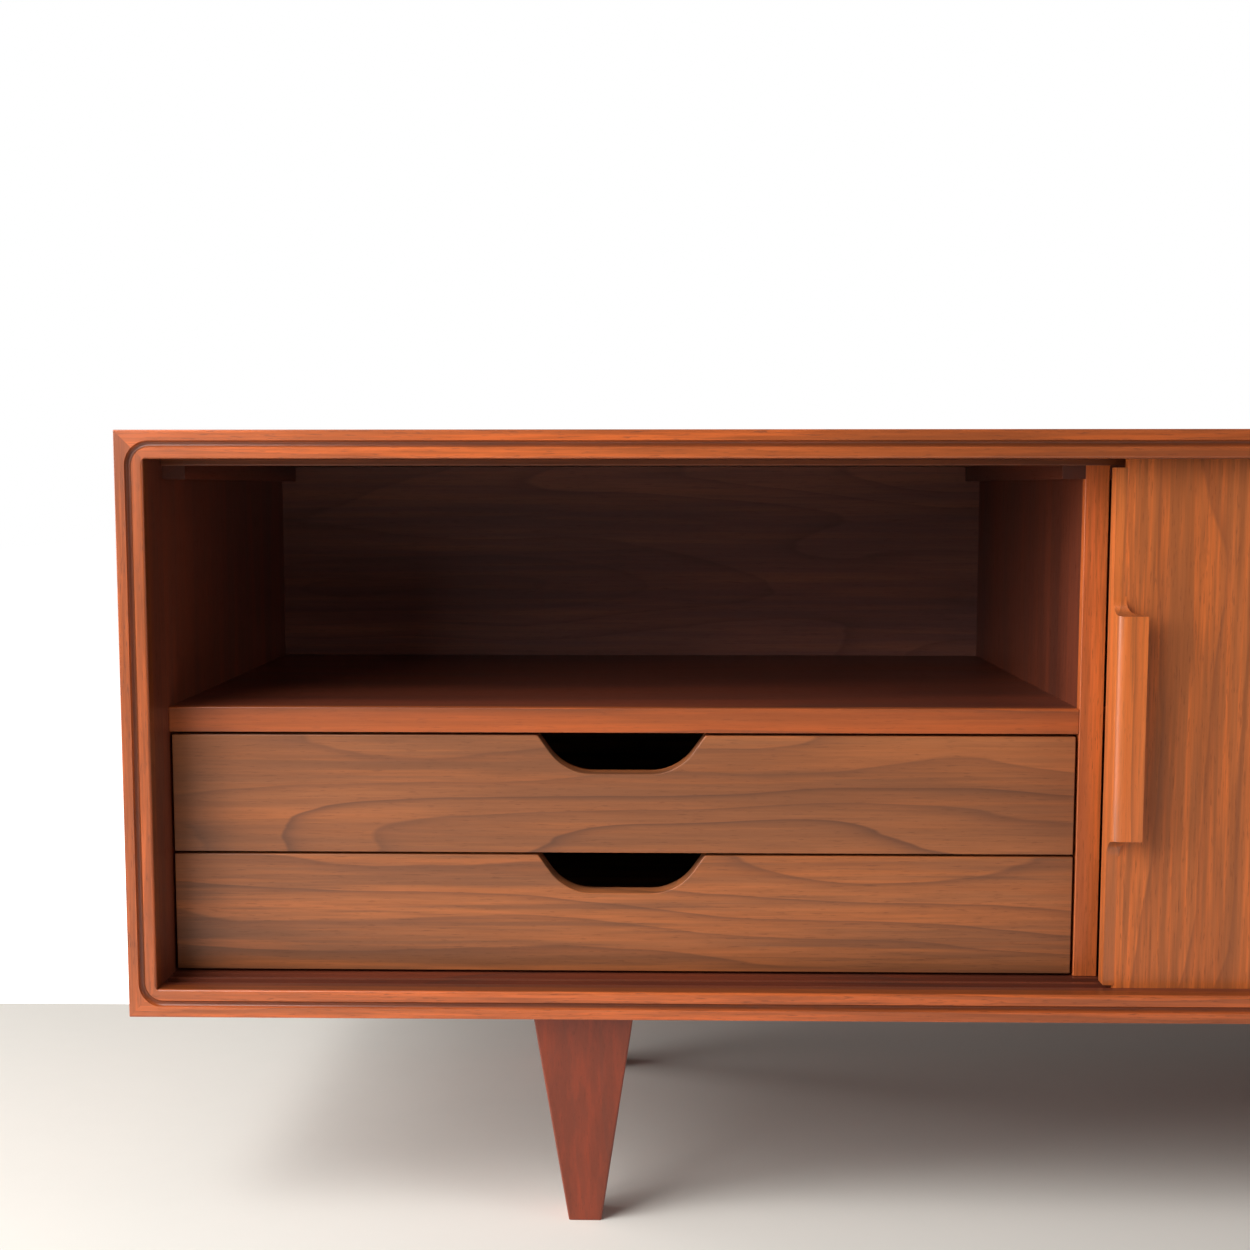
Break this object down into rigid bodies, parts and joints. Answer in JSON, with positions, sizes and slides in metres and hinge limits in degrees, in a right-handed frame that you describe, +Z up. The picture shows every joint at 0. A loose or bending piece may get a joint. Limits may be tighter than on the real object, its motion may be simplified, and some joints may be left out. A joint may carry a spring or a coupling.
{
  "type": "sideboard buffet",
  "caption": "Long low walnut sideboard with a rimmed mitred case, an open bay over inset drawers with scooped hand holds, bypass sliding doors and square tapered legs.",
  "frame": {"origin": "on the floor, under the middle of the case", "axes": "+Z up, +X along the case towards the door end, +Y towards the back; the drawers open towards -Y"},
  "size_m": [1.829, 0.457, 0.642],
  "materials": {
    "case_walnut": "oiled walnut veneer, satin, warm red-brown",
    "lipping_walnut": "solid walnut edge, satin, orange-red brown",
    "drawer_walnut": "figured walnut, satin, tan-brown with grey-brown streaks",
    "door_walnut": "figured walnut veneer with vertical grain, satin",
    "inner_wood": "plain sanded secondary hardwood",
    "back_walnut": "dark walnut-faced plywood",
    "leg_walnut": "solid walnut, satin, red-brown",
    "steel": "plain steel fasteners",
    "brass": "brass shelf pins"
  },
  "bodies": {
    "case": {"back_panel": "back_walnut", "back_panel_screws": "steel", "bay_left_cleat": "case_walnut", "bay_right_cleat": "case_walnut", "bay_shelf": "case_walnut", "bay_shelf_dowels": "inner_wood", "bay_shelf_lipping": "lipping_walnut", "bottom_lipping": "lipping_walnut", "bottom_panel": "case_walnut", "cleat_screws": "steel", "corner_splines": "inner_wood", "cupboard_left_cleat": "case_walnut", "cupboard_right_cleat": "case_walnut", "cupboard_shelf": "case_walnut", "cupboard_shelf_lipping": "lipping_walnut", "divider": "case_walnut", "divider_dowels": "inner_wood", "divider_lipping": "lipping_walnut", "front_left_leg": "leg_walnut", "front_right_leg": "leg_walnut", "left_runner_screws": "steel", "left_side_lipping": "lipping_walnut", "left_side_panel": "case_walnut", "leg_bolts": "steel", "lower_left_runner": "inner_wood", "lower_right_runner": "inner_wood", "rear_left_leg": "leg_walnut", "rear_right_leg": "leg_walnut", "right_runner_screws": "steel", "right_side_lipping": "lipping_walnut", "right_side_panel": "case_walnut", "shelf_pins": "brass", "top_lipping": "lipping_walnut", "top_panel": "case_walnut", "top_track_lip": "lipping_walnut", "upper_left_runner": "inner_wood", "upper_right_runner": "inner_wood"},
    "upper_drawer": {"upper_drawer_back": "inner_wood", "upper_drawer_front": "drawer_walnut", "upper_drawer_left_side": "inner_wood", "upper_drawer_right_side": "inner_wood", "upper_drawer_tray": "inner_wood"},
    "lower_drawer": {"lower_drawer_back": "inner_wood", "lower_drawer_front": "drawer_walnut", "lower_drawer_left_side": "inner_wood", "lower_drawer_right_side": "inner_wood", "lower_drawer_tray": "inner_wood"},
    "left_door": {"left_door_edging": "door_walnut", "left_door_panel": "door_walnut", "left_door_stile": "door_walnut"},
    "right_door": {"right_door_edging": "door_walnut", "right_door_panel": "door_walnut", "right_door_stile": "door_walnut"}
  },
  "joints": [
    {"name": "upper_drawer_slide", "type": "slide", "parent": "case", "child": "upper_drawer", "axis": [0, -1, 0], "range_m": [0, 0.28]},
    {"name": "lower_drawer_slide", "type": "slide", "parent": "case", "child": "lower_drawer", "axis": [0, -1, 0], "range_m": [0, 0.28]},
    {"name": "left_door_slide", "type": "slide", "parent": "case", "child": "left_door", "axis": [1, 0, 0], "range_m": [0, 0.508]},
    {"name": "right_door_slide", "type": "slide", "parent": "case", "child": "right_door", "axis": [-1, 0, 0], "range_m": [0, 0.508]}
  ]
}
